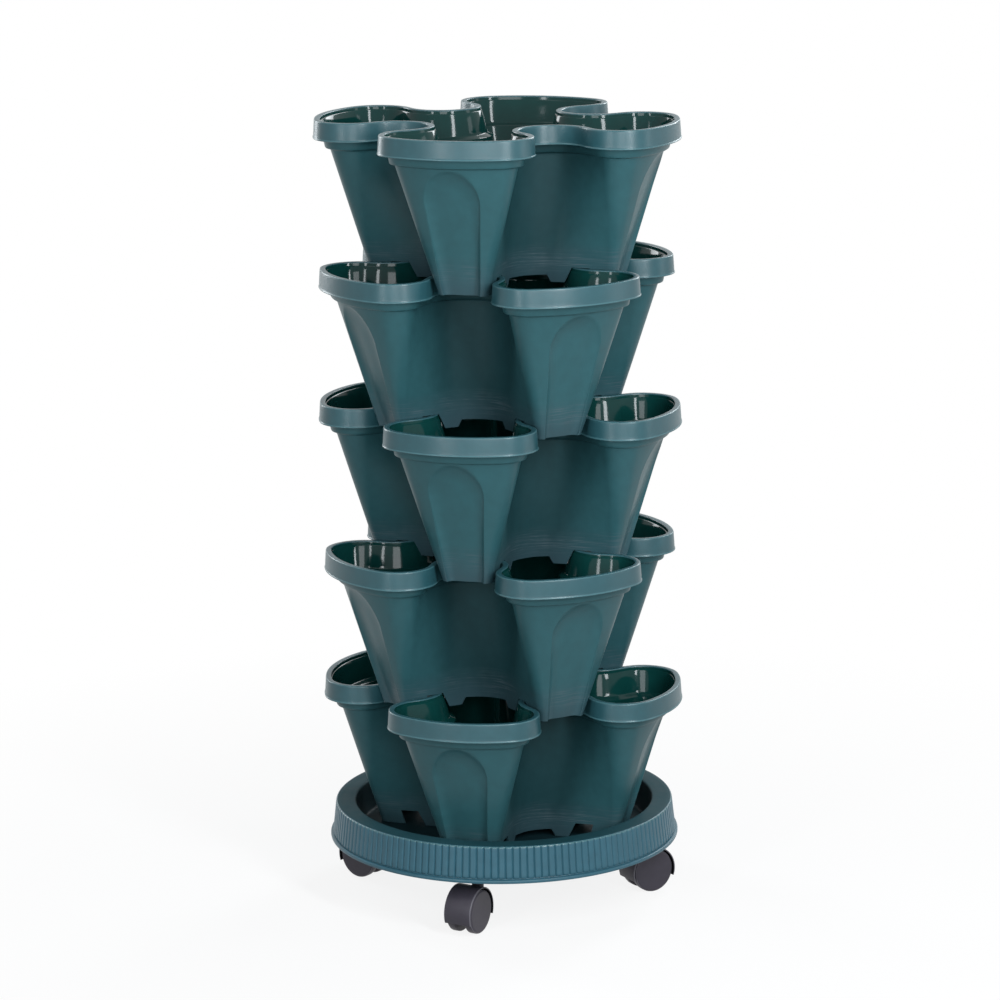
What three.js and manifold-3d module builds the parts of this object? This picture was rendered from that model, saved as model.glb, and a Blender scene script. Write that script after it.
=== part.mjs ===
// A vertical planter tower: five four-lobed pots stacked on a round saucer with four swivel casters.
// Millimetres, +Z up. The origin is on the floor under the middle of the stack.
import * as THREE from "three";
import { mergeVertices } from "three/addons/utils/BufferGeometryUtils.js";
import Module from "manifold-3d";

const wasm = await Module();
wasm.setup();

// Stack
const TIERS = 5; // pots, counted from the bottom up
const LOBES = 4; // lobes round each pot
const HALVES = 2; // nodes that each pot is drawn in
const POT_HEIGHT = 142; // from the foot's edge to the rim
const NEST = 13.3; // how far a pot's foot drops past the rim below
const SEAT_GAP = 0.3; // between pieces that touch
const WALL = 2; // moulded wall of the pots

// Outline of a pot's rim, seen from above: a lobe's tip, the arc across its tip, its half width,
// the corner beside the arc, and the valley's circle on the line between two lobes. The last value is
// the share of the valley's arc that is drawn as one straight with the line that leads into it.
const RIM = {
  reach: 165,
  face: 115.7,
  half: 68.8,
  corner: 33,
  valleyAt: 101.5,
  valley: 29.9,
  valleyStartShare: 0.15,
};
// The same at the foot's edge
const FOOT = {
  reach: 116,
  face: 60,
  half: 22.5,
  corner: 9,
  valleyAt: 85,
  valley: 35,
  valleyStartShare: 0,
};
const RIM_FACE_POINTS = { inner: 10, outer: 30, depth: 0 }; // where the plain face across a tip turns

// Rim band and the collar under it
const RIM_TOP_WIDTH = 5; // flat top of the rim
const BAND_HEIGHT = 17; // from the rim's top to the lip of the band
const LIP_FLARE = 1.5; // how far the lip stands out past the rim
const COLLAR_TOP_INSET = 7.4; // how far in the collar's top lies from the rim's edge
const COLLAR_DEPTH = 24; // collar's foot, under the rim's top
const COLLAR_INSET = 9; // how far in the collar's foot lies from the rim's edge
const WALL_TOP_DEPTH = 27; // where the plain wall begins, under the rim's top
const WALL_TOP_INSET = 14;

// Floor of a pot, above its foot's edge
const FLOOR_HEIGHT = 16;
const FLOOR_THICKNESS = 2.2;
const DRAIN_RADIUS = 4;
const DRAIN_AT = 92; // drain hole in each lobe, from the pot's middle
const MIDDLE_DRAIN_RADIUS = 6;
const DRAIN_SIDES = 6;

// Arched recess on each lobe's face
const RECESS_DEPTH = 7; // at the foot's edge
const RECESS_SPRING_FLOOR = 5; // its depth where the arch springs, from there fading to nothing at the crown
const RECESS_FOOT_HALF = 13.5; // half width at the foot's edge
const RECESS_HALF = 25; // half width where the arch springs
const RECESS_SPRING_DEPTH = 58; // where the arch springs, under the rim's top
const RECESS_CROWN_DEPTH = 28; // crown of the arch
const RECESS_HAUNCH_DEPTH = 35; // one level between crown and spring
const RECESS_SIDE_SHARE = 0.35; // share of the half width that the sloping side takes

// Castellated foot
const FOOT_ARCH_HEIGHT = 6.6; // shallow opening in the middle of each valley
const FOOT_ARCH_HALF = 22;
const NOTCH_SLOPE_IN = 7.5; // how far the slot's inner edge leans over its height
const NOTCH_SLOPE_OUT = 4; // and its outer edge
const NOTCH_CLEARANCE = 1; // between the slot's edges and the rim that it straddles

// Saucer
const SAUCER_FLOOR = 2.5; // thickness of the floor
const SAUCER_WALL = 2;
const SAUCER_DEPTH = 27.2; // basin depth, from the flange's top
const BASIN_FLOOR_RADIUS = 132;
const FLANGE_INNER = 136.9;
const FLANGE_OUTER = 155.3;
const BAND_FOOT_RADIUS = 158.6; // the sloping band, at its foot
const BAND_DROP = 33; // from the flange's top to the band's foot
const BEAD_RADIUS = 160.6;
const BEAD_HEIGHT = 3.4;
const BEAD_SLOPE = 0.8;

// Casters
const CASTERS = 4;
const CASTER_RING = 119.3; // stems, from the middle of the saucer
const CASTER_RING_TURN = 4.5; // degrees from -Y toward +X of the first stem
const CASTER_HEADINGS = [-12.2, 136.6, 214.5, -113.6]; // degrees from -Y toward +X that each one trails
const TRAIL = 17.2; // from the stem's axis to the axle, seen from above
const WHEEL_RADIUS = 20;
const WHEEL_WIDTH = 8;
const WHEEL_CHAMFER = 1.2;
const CASTER_WIDTH = 26.4; // over the hood
const FACE_SET_IN = 0.3; // wheel faces, inside the hood's edges
const HOOD_RADIUS = 22.5;
const HOOD_THICKNESS = 1.5;
const HOOD_END_ANGLE = 20; // degrees below the axle where the hood ends on both sides
const WEB_WIDTH = 7; // upright web between the wheels
const WEB_RADIUS = 9; // web below the axle
const NECK_RADIUS = 5.4;
const NECK_TOP = 44; // above the floor
const STEM_RADIUS = 3;
const STEM_FOOT = 26; // above the floor
const PIN_GAP = 0.3; // round each pin
const AXLE_RADIUS = 2;
const AXLE_COVER = 1.3; // wheel left over the axle's end
const BUSH_WALL = 2;
const BUSH_FLANGE_RADIUS = 7.5;
const BUSH_FLANGE = 1.4;
const BOSS_RADIUS = 9;
const BOSS_HEIGHT = 10.4; // under the saucer's floor
const BOSS_FOOT = 46; // above the floor

// Heights that follow
const SAUCER_UNDERSIDE = BOSS_FOOT + BOSS_HEIGHT;
const BASIN_FLOOR = SAUCER_UNDERSIDE + SAUCER_FLOOR;
const STACK_FOOT = BASIN_FLOOR + SEAT_GAP;
const TIER_PITCH = POT_HEIGHT - NEST;
const FLANGE_TOP = BASIN_FLOOR + SAUCER_DEPTH;

// Fineness of the curves
const CORNER_STEPS = 3;
const VALLEY_STEPS = 2;
const SAUCER_STEPS = 60;
const BOSS_STEPS = 8;
const WHEEL_STEPS = 16;
const HOOD_STEPS = 8;
const PIN_STEPS = 8;
const CUT_OVERRUN = 1; // how far cutters run past what they cut

const moulded = (color, roughness = 0.55) =>
  new THREE.MeshStandardMaterial({ color, roughness, metalness: 0 });
const potPlastic = moulded(0x2c5456);
const saucerPlastic = moulded(0x3c6069);
const casterPlastic = moulded(0x2d2a30, 0.5);
const steel = new THREE.MeshStandardMaterial({ color: 0x9a9da0, roughness: 0.35, metalness: 1 });

// Solids and geometries

function solidOf(geometry) {
  const bare = geometry.clone();
  for (const extra of ["normal", "uv"]) bare.deleteAttribute(extra);
  const merged = mergeVertices(bare);
  return new wasm.Manifold(
    new wasm.Mesh({
      numProp: 3,
      vertProperties: merged.attributes.position.array,
      triVerts: new Uint32Array(merged.index.array),
    }),
  );
}

function geometryOf(solid) {
  const mesh = solid.getMesh();
  const geometry = new THREE.BufferGeometry();
  geometry.setAttribute("position", new THREE.BufferAttribute(mesh.vertProperties, 3));
  geometry.setIndex(new THREE.BufferAttribute(mesh.triVerts, 1));
  geometry.computeVertexNormals();
  return geometry;
}

// A closed skin through rings with the same number of points, capped at its first and last ring.
function skin(rings) {
  const count = rings[0].length;
  const points = rings.flat();
  const faces = [];
  for (let ring = 0; ring + 1 < rings.length; ring++) {
    for (let i = 0; i < count; i++) {
      const a = ring * count + i;
      const b = ring * count + ((i + 1) % count);
      faces.push(a, b, a + count, b, b + count, a + count);
    }
  }
  const lastRing = (rings.length - 1) * count;
  for (const [start, up] of [[0, false], [lastRing, true]]) {
    const middle = points.length;
    points.push(new THREE.Vector3(0, 0, rings[start / count][0].z));
    for (let i = 0; i < count; i++) {
      const a = start + i;
      const b = start + ((i + 1) % count);
      faces.push(...(up ? [a, b, middle] : [b, a, middle]));
    }
  }
  const geometry = new THREE.BufferGeometry().setFromPoints(points);
  geometry.setIndex(faces);
  return geometry;
}

// A turned solid from [radius, height] pairs, with its axis along Z.
function turned(pairs, steps) {
  const profile = pairs.map(([radius, height]) => new THREE.Vector2(radius, height));
  return new THREE.LatheGeometry(profile, steps).rotateX(Math.PI / 2);
}

function pin(radius, from, to, steps) {
  return turned([[0, from], [radius, from], [radius, to], [0, to]], steps);
}

// A plate drawn in the XZ plane from an outline of [x, z] pairs, its thickness centred on y = 0.
function plate(outline, thickness) {
  const shape = new THREE.Shape(outline.map(([x, z]) => new THREE.Vector2(x, z)));
  const extruded = new THREE.ExtrudeGeometry(shape, { depth: thickness, bevelEnabled: false });
  return extruded.rotateX(Math.PI / 2).translate(0, thickness / 2, 0);
}

const mix = (from, to, share) => from + (to - from) * share;

// Pots

function inset(outline, by) {
  return {
    reach: outline.reach - by,
    face: outline.face - by,
    half: outline.half - by,
    corner: outline.corner - by,
    valleyAt: outline.valleyAt,
    valley: outline.valley + by,
    valleyStartShare: outline.valleyStartShare,
  };
}

// Half a lobe's edge, from beside its tip to the middle of the valley, as [along the lobe, across it].
// The first two points follow the recess: its floor ends at the inner one, its side at the outer one.
function halfLobe(outline, recess) {
  const faceMiddle = outline.reach - outline.face;
  const across = outline.half - outline.corner;
  const reach = Math.sqrt((outline.face - outline.corner) ** 2 - across ** 2);
  const cornerMiddle = new THREE.Vector2(faceMiddle + reach, across);
  const faceAngle = Math.atan2(across, reach);
  const valleyMiddle = new THREE.Vector2(outline.valleyAt, outline.valleyAt).multiplyScalar(Math.SQRT1_2);
  const toValley = valleyMiddle.clone().sub(cornerMiddle);
  const touching = Math.min(1, (outline.corner + outline.valley) / toValley.length());
  const turn = toValley.angle() - Math.acos(touching);
  const points = [];
  for (const [offset, depth] of [[recess.inner, recess.depth], [recess.outer, 0]]) {
    const angle = Math.asin(offset / outline.face);
    points.push([faceMiddle + outline.face * Math.cos(angle) - depth, offset]);
  }
  for (let i = 0; i <= CORNER_STEPS; i++) {
    const angle = mix(faceAngle, turn, i / CORNER_STEPS);
    points.push([
      cornerMiddle.x + outline.corner * Math.cos(angle),
      cornerMiddle.y + outline.corner * Math.sin(angle),
    ]);
  }
  const side = Math.PI / LOBES;
  for (let i = 0; i <= VALLEY_STEPS; i++) {
    const angle = mix(turn, side, mix(outline.valleyStartShare, 1, i / VALLEY_STEPS));
    points.push([
      valleyMiddle.x - outline.valley * Math.cos(angle),
      valleyMiddle.y - outline.valley * Math.sin(angle),
    ]);
  }
  return points;
}

function ring(outline, height, recess) {
  const half = halfLobe(outline, recess);
  const lobe = [
    ...half.toReversed().map(([along, across]) => [along, -across]),
    ...half.slice(0, -1),
  ];
  const points = [];
  for (let k = 0; k < LOBES; k++) {
    const angle = (k * 2 * Math.PI) / LOBES;
    for (const [along, across] of lobe) {
      points.push(
        new THREE.Vector3(
          along * Math.cos(angle) - across * Math.sin(angle),
          along * Math.sin(angle) + across * Math.cos(angle),
          height,
        ),
      );
    }
  }
  return points;
}

// The recess at a height above the foot's edge: an arch outside, straight sided on the inner wall.
function recessAt(height) {
  const down = POT_HEIGHT - height;
  const rise = (RECESS_SPRING_DEPTH - down) / (RECESS_SPRING_DEPTH - RECESS_CROWN_DEPTH);
  const straight = height / (POT_HEIGHT - RECESS_SPRING_DEPTH);
  const [outer, depth] =
    rise > 0
      ? [RECESS_HALF * Math.sqrt(Math.max(0, 1 - rise ** 2)), RECESS_SPRING_FLOOR * (1 - rise)]
      : [mix(RECESS_FOOT_HALF, RECESS_HALF, straight), mix(RECESS_DEPTH, RECESS_SPRING_FLOOR, straight)];
  return { inner: outer * (1 - RECESS_SIDE_SHARE), outer, depth };
}

const wallTop = inset(RIM, WALL_TOP_INSET);

function wallOutline(height) {
  const share = height / (POT_HEIGHT - WALL_TOP_DEPTH);
  const outline = {};
  for (const key of Object.keys(FOOT)) outline[key] = mix(FOOT[key], wallTop[key], share);
  return outline;
}

// Lobed tube with a floor: up its outside, over the rim and down its inside.
function potBody() {
  const crown = { inner: RIM_FACE_POINTS.inner / 2, outer: RIM_FACE_POINTS.inner, depth: 0 };
  const straightSides = { inner: RECESS_HALF * (1 - RECESS_SIDE_SHARE), outer: RECESS_HALF, depth: 0 };
  const outside = (height) => ring(wallOutline(height), height, recessAt(height));
  const inside = (height) => ring(inset(wallOutline(height), WALL), height, recessAt(height));
  const rimRing = (by, down, face = RIM_FACE_POINTS) => ring(inset(RIM, by), POT_HEIGHT - down, face);
  return skin([
    inside(FLOOR_HEIGHT - FLOOR_THICKNESS),
    inside(0),
    outside(0),
    outside(POT_HEIGHT - RECESS_SPRING_DEPTH),
    outside(POT_HEIGHT - RECESS_HAUNCH_DEPTH),
    rimRing(WALL_TOP_INSET, WALL_TOP_DEPTH, crown),
    rimRing(COLLAR_INSET, COLLAR_DEPTH),
    rimRing(COLLAR_TOP_INSET, BAND_HEIGHT),
    rimRing(-LIP_FLARE, BAND_HEIGHT),
    rimRing(0, 0),
    rimRing(RIM_TOP_WIDTH, 0),
    rimRing(COLLAR_INSET + WALL, COLLAR_DEPTH),
    rimRing(WALL_TOP_INSET + WALL, WALL_TOP_DEPTH, straightSides),
    inside(POT_HEIGHT - RECESS_SPRING_DEPTH),
    inside(FLOOR_HEIGHT),
  ]);
}

// Where a line across the lobe at a given half width meets the faceted valley of the pot below.
function rimCrossing(inward, halfWidth) {
  const facet = ((Math.PI / LOBES) * (1 - RIM.valleyStartShare)) / VALLEY_STEPS;
  const radius = (RIM.valley + inward) * (inward > 0 ? 1 : Math.cos(facet));
  return RIM.valleyAt - Math.sqrt(radius ** 2 - halfWidth ** 2);
}

// The slot that drops over the rim of the pot below, as a plate across the lobe.
function rimSlot() {
  const top = NEST + SEAT_GAP;
  const footHalf = FOOT.half;
  const topHalf = wallOutline(top).half;
  const innerTop = rimCrossing(RIM_TOP_WIDTH, topHalf - WALL) - NOTCH_CLEARANCE;
  const outerTop = rimCrossing(0, topHalf) + NOTCH_CLEARANCE;
  const outerFoot = Math.max(rimCrossing(-LIP_FLARE, footHalf), outerTop - NOTCH_SLOPE_OUT);
  return plate(
    [
      [innerTop - NOTCH_SLOPE_IN, -CUT_OVERRUN],
      [outerFoot, -CUT_OVERRUN],
      [outerTop, top],
      [innerTop, top],
    ],
    2 * (topHalf + WALL),
  );
}

// Half of a pot: two neighbouring lobes. A pot is one moulding, and its two halves meet in the middle of
// two opposite valleys.
function makeHalfPot() {
  let pot = solidOf(potBody());
  const slot = solidOf(rimSlot());
  const archReach = FOOT.valleyAt - Math.sqrt(FOOT.valley ** 2 - FOOT_ARCH_HALF ** 2);
  const arch = solidOf(
    plate(
      [
        [0, -CUT_OVERRUN],
        [archReach + WALL, -CUT_OVERRUN],
        [archReach + WALL, FOOT_ARCH_HEIGHT],
        [0, FOOT_ARCH_HEIGHT],
      ],
      2 * FOOT_ARCH_HALF,
    ),
  );
  const drain = solidOf(
    pin(DRAIN_RADIUS, 0, FLOOR_HEIGHT + CUT_OVERRUN, DRAIN_SIDES).translate(DRAIN_AT, 0, 0),
  );
  for (let k = 0; k < LOBES; k++) {
    const turn = (k * 360) / LOBES;
    pot = pot.subtract(slot.rotate([0, 0, turn]));
    pot = pot.subtract(arch.rotate([0, 0, turn + 180 / LOBES]));
    pot = pot.subtract(drain.rotate([0, 0, turn]));
  }
  pot = pot.subtract(
    solidOf(pin(MIDDLE_DRAIN_RADIUS, 0, FLOOR_HEIGHT + CUT_OVERRUN, DRAIN_SIDES)),
  );
  const room = 2 * RIM.reach;
  const side = new THREE.BoxGeometry(room, 2 * room, 2 * room).translate(room / 2, 0, 0);
  return geometryOf(pot.intersect(solidOf(side.rotateZ(Math.PI / LOBES))));
}

// Saucer

function stemPlace(index) {
  const angle = THREE.MathUtils.degToRad(CASTER_RING_TURN + (index * 360) / CASTERS);
  return new THREE.Vector3(CASTER_RING * Math.sin(angle), -CASTER_RING * Math.cos(angle), 0);
}

function makeSaucer() {
  const bandFoot = FLANGE_TOP - BAND_DROP;
  const flangeUnder = FLANGE_TOP - SAUCER_WALL;
  let saucer = solidOf(
    turned(
      [
        [0, SAUCER_UNDERSIDE],
        [BASIN_FLOOR_RADIUS + SAUCER_WALL, SAUCER_UNDERSIDE],
        [FLANGE_INNER + SAUCER_WALL, flangeUnder],
        [FLANGE_OUTER - SAUCER_WALL, flangeUnder],
        [BAND_FOOT_RADIUS - SAUCER_WALL, bandFoot],
        [BEAD_RADIUS, bandFoot],
        [BEAD_RADIUS, bandFoot + BEAD_HEIGHT],
        [BAND_FOOT_RADIUS, bandFoot + BEAD_HEIGHT + BEAD_SLOPE],
        [FLANGE_OUTER, FLANGE_TOP],
        [FLANGE_INNER, FLANGE_TOP],
        [BASIN_FLOOR_RADIUS, BASIN_FLOOR],
        [0, BASIN_FLOOR],
      ],
      SAUCER_STEPS,
    ),
  );
  const boss = pin(BOSS_RADIUS, BOSS_FOOT, SAUCER_UNDERSIDE + SAUCER_FLOOR / 2, BOSS_STEPS);
  const boreRadius = STEM_RADIUS + PIN_GAP + BUSH_WALL + PIN_GAP;
  const bore = pin(boreRadius, BOSS_FOOT - CUT_OVERRUN, SAUCER_UNDERSIDE, BOSS_STEPS);
  for (let k = 0; k < CASTERS; k++) {
    const place = stemPlace(k).toArray();
    saucer = saucer.add(solidOf(boss).translate(place)).subtract(solidOf(bore).translate(place));
  }
  return geometryOf(saucer);
}

// Casters, drawn with the stem on the Z axis and the wheels trailing toward +X

function makeBush() {
  const inner = STEM_RADIUS + PIN_GAP;
  const outer = inner + BUSH_WALL;
  const flangeTop = BOSS_FOOT - SEAT_GAP;
  const top = SAUCER_UNDERSIDE - SEAT_GAP;
  return turned(
    [
      [inner, flangeTop - BUSH_FLANGE],
      [BUSH_FLANGE_RADIUS, flangeTop - BUSH_FLANGE],
      [BUSH_FLANGE_RADIUS, flangeTop],
      [outer, flangeTop],
      [outer, top],
      [inner, top],
      [inner, flangeTop - BUSH_FLANGE],
    ],
    BOSS_STEPS,
  );
}

function makeHousing() {
  const end = THREE.MathUtils.degToRad(HOOD_END_ANGLE);
  const arc = (radius, share) => {
    const angle = mix(-end, Math.PI + end, share);
    return [TRAIL + radius * Math.cos(angle), WHEEL_RADIUS + radius * Math.sin(angle)];
  };
  const steps = Array.from({ length: HOOD_STEPS + 1 }, (_, i) => i / HOOD_STEPS);
  const innerRadius = HOOD_RADIUS - HOOD_THICKNESS;
  const hood = plate(
    [
      ...steps.map((share) => arc(HOOD_RADIUS, share)),
      ...steps.map((share) => arc(innerRadius, 1 - share)),
    ],
    CASTER_WIDTH,
  );
  const webFoot = steps.map((share) => {
    const angle = Math.PI * (1 + share);
    return [TRAIL + WEB_RADIUS * Math.cos(angle), WHEEL_RADIUS + WEB_RADIUS * Math.sin(angle)];
  });
  const web = plate(
    [...steps.map((share) => arc(HOOD_RADIUS - HOOD_THICKNESS / 2, share)), ...webFoot],
    WEB_WIDTH,
  );
  const neck = pin(NECK_RADIUS, STEM_FOOT - PIN_GAP - HOOD_THICKNESS, NECK_TOP, BOSS_STEPS);
  const stemBore = pin(STEM_RADIUS + PIN_GAP, STEM_FOOT - PIN_GAP, NECK_TOP + CUT_OVERRUN, PIN_STEPS);
  const axleBore = pin(AXLE_RADIUS + PIN_GAP, -WEB_WIDTH, WEB_WIDTH, PIN_STEPS)
    .rotateX(Math.PI / 2)
    .translate(TRAIL, 0, WHEEL_RADIUS);
  const wheelRoom = pin(innerRadius, WEB_WIDTH / 2, CASTER_WIDTH, WHEEL_STEPS).rotateX(Math.PI / 2);
  const rooms = [wheelRoom, wheelRoom.clone().rotateZ(Math.PI)].map((room) =>
    solidOf(room.translate(TRAIL, 0, WHEEL_RADIUS)),
  );
  return geometryOf(
    solidOf(neck)
      .subtract(rooms[0])
      .subtract(rooms[1])
      .add(solidOf(hood))
      .add(solidOf(web))
      .subtract(solidOf(stemBore))
      .subtract(solidOf(axleBore)),
  );
}

function makeWheel() {
  const face = CASTER_WIDTH / 2 - FACE_SET_IN;
  const back = face - WHEEL_WIDTH;
  const bore = AXLE_RADIUS + PIN_GAP;
  return turned(
    [
      [0, face - AXLE_COVER],
      [bore, face - AXLE_COVER],
      [bore, back],
      [WHEEL_RADIUS, back],
      [WHEEL_RADIUS, face - WHEEL_CHAMFER],
      [WHEEL_RADIUS - WHEEL_CHAMFER, face],
      [0, face],
    ],
    WHEEL_STEPS,
  );
}

function addMesh(group, name, geometry, material) {
  const mesh = new THREE.Mesh(geometry, material);
  mesh.name = name;
  group.add(mesh);
  return mesh;
}

const pieces = {
  halfPot: makeHalfPot(),
  bush: makeBush(),
  housing: makeHousing(),
  wheel: makeWheel(),
  stem: pin(STEM_RADIUS, STEM_FOOT, SAUCER_UNDERSIDE - SEAT_GAP, PIN_STEPS),
  axle: pin(
    AXLE_RADIUS,
    -(CASTER_WIDTH / 2 - FACE_SET_IN - AXLE_COVER - PIN_GAP),
    CASTER_WIDTH / 2 - FACE_SET_IN - AXLE_COVER - PIN_GAP,
    PIN_STEPS,
  ),
};

function makeCaster(index) {
  const number = index + 1;
  const group = new THREE.Group();
  addMesh(group, `caster_bush_${number}`, pieces.bush, casterPlastic);
  const swivel = new THREE.Group();
  addMesh(swivel, `caster_stem_${number}`, pieces.stem, steel);
  addMesh(swivel, `caster_housing_${number}`, pieces.housing, casterPlastic);
  const wheels = new THREE.Group();
  addMesh(wheels, `caster_axle_${number}`, pieces.axle, steel).rotation.x = Math.PI / 2;
  addMesh(wheels, `wheel_left_${number}`, pieces.wheel, casterPlastic).rotation.x = -Math.PI / 2;
  addMesh(wheels, `wheel_right_${number}`, pieces.wheel, casterPlastic).rotation.x = Math.PI / 2;
  wheels.position.set(TRAIL, 0, WHEEL_RADIUS);
  swivel.add(wheels);
  // Heading 0 trails toward -Y, while the caster is drawn trailing toward +X.
  swivel.rotation.z = THREE.MathUtils.degToRad(CASTER_HEADINGS[index]) - Math.PI / 2;
  group.add(swivel);
  group.position.copy(stemPlace(index));
  return group;
}

const tower = new THREE.Group();
for (let k = 0; k < TIERS; k++) {
  const pot = new THREE.Group();
  for (let n = 0; n < HALVES; n++) {
    const half = addMesh(pot, `pot_tier_${k + 1}_half_${n + 1}`, pieces.halfPot, potPlastic);
    half.rotation.z = (n * 2 * Math.PI) / HALVES;
  }
  pot.position.z = STACK_FOOT + k * TIER_PITCH;
  pot.rotation.z = (k % 2) * (Math.PI / LOBES);
  tower.add(pot);
}
addMesh(tower, "tray", makeSaucer(), saucerPlastic);
for (let k = 0; k < CASTERS; k++) tower.add(makeCaster(k));

export default tower;
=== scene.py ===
"""Looks of a vertical planter tower: five lobed pots stacked on a round saucer with four swivel casters.

Shapes are named in millimetres, as in the part's source, and MM turns them into metres for Blender. What
belongs to materials, lamps and the camera is named in metres and degrees.
"""

import math

import bmesh
import bpy
import numpy as np
from mathutils import Matrix, Vector
from mathutils.geometry import tessellate_polygon


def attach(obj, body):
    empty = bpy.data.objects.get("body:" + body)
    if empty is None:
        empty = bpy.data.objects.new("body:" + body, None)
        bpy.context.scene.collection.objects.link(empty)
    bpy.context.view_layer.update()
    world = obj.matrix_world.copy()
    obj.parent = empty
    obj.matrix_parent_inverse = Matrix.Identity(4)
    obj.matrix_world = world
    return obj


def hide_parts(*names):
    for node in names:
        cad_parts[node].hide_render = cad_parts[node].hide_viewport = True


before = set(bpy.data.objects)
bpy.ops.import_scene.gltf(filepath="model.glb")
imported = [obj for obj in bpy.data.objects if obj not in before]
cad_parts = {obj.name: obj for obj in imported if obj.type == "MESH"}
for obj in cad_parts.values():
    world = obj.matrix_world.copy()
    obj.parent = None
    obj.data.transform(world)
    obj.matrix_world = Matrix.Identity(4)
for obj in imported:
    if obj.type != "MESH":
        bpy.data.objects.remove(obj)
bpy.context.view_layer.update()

MM = 0.001

# Pots: the stack
TIERS = 5
LOBES = 4
POT_HEIGHT = 142.0
TIER_PITCH = 128.7
STACK_FOOT = 59.2

# Pots: outlines seen from above, each with a lobe's tip, the arc across it, its half width, the corner beside
# the arc, and the valley's circle on the line between two lobes
WALL = 2.0
WALL_TOP_DEPTH = 27.0
WALL_TOP_INSET = 14.0
RIM = {"reach": 165.0, "face": 115.7, "half": 68.8, "corner": 33.0, "valley_at": 101.5, "valley": 29.9}
FOOT = {"reach": 116.0, "face": 60.0, "half": 22.5, "corner": 7.0, "valley_at": 85.0, "valley": 35.0}

# Pots: floor and drain holes
FLOOR_TOP = 16.0
FLOOR_UNDER = 13.8
DRAIN_RADIUS = 4.0
DRAIN_AT = 92.0
DRAIN_STEPS = 28
MIDDLE_DRAIN_RADIUS = 6.0
MIDDLE_DRAIN_STEPS = 40

# Pots: arched recess in each lobe's face
RECESS_FOOT_DEPTH = 7.0
RECESS_SPRING_FLOOR = 5.8
RECESS_CROWN_STEP = 0.6
RECESS_FOOT_HALF = 17.0
RECESS_HALF = 25.0
RECESS_SPRING = 58.0
RECESS_CROWN = 28.0
RECESS_MARGIN = 2.0  # how far its step may run on above the crown
RECESS_FACE_SHARE = 0.94  # the most of the face's half width that the recess takes
RECESS_CURVES = (6.0, 3.6)  # how late its sides fall away, at the foot and where the arch springs
# the crisp step round its edge: shares of the half width, and the share of the step that is left there
RECESS_STEP_REACHES = (0.97, 0.985, 1.0, 1.02, 1.05)
RECESS_STEP_SHARES = (1.0, 0.85, 0.4, 0.08, 0.0)

# Pots: openings in the foot, which are a slot in each lobe's side and an arch in each valley
SLOT_TOP = 13.6
SLOT_LEAN_HEIGHT = SLOT_TOP + 1.0
SLOT_INNER = 75.47
SLOT_INNER_LEAN = 7.5
SLOT_OUTER = 92.24
SLOT_OUTER_LEAN = 4.0
ARCH_TOP = 6.6
ARCH_HALF = 22.0
ARCH_HALF_TOP = 19.0
ARCH_LEAST_SHARE = 0.04
OPENING_TOPS = {"slot": SLOT_TOP, "arch": ARCH_TOP, "wall": 0.0}

# Pots: columns of the skin over half a lobe, from the tip's middle to the valley's middle
RECESS_COLUMN_SHARES = [
    0, 0.15, 0.3, 0.42, 0.52, 0.6, 0.68, 0.75, 0.81, 0.86, 0.9, 0.935, 0.965, 0.985, 1.0, 1.02, 1.05,
]
BESIDE_STEPS = 5
CORNER_STEPS = 12
SIDE_STEPS = (4, 6, 5)  # outside the slot, in it, and on to the valley
VALLEY_STEPS = (2, 14)  # beside the foot's arch, and in it

# Pots: rows of the skin, as heights above the foot's edge, closer together where the recess's arch is
SKIRT_HEIGHTS = [0, 0.9, 2.3, 3.8, 5.2, ARCH_TOP, 8.0, 9.5, 11.0, 12.4, SLOT_TOP]
WALL_HEIGHTS = [15.2, *np.arange(18.5, 82, 3.6), *np.arange(84, 114.6, 0.9)]
SKIRT = len(SKIRT_HEIGHTS)  # the ring at the foot's inner edge, counted from the floor's underside
FLOOR_FILLET = [(0.0, 1.6), (0.25, 0.75), (0.8, 0.2), (1.7, 0.0)]  # as (inset, height)
FILLET_CLEARANCE = 0.4

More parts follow.
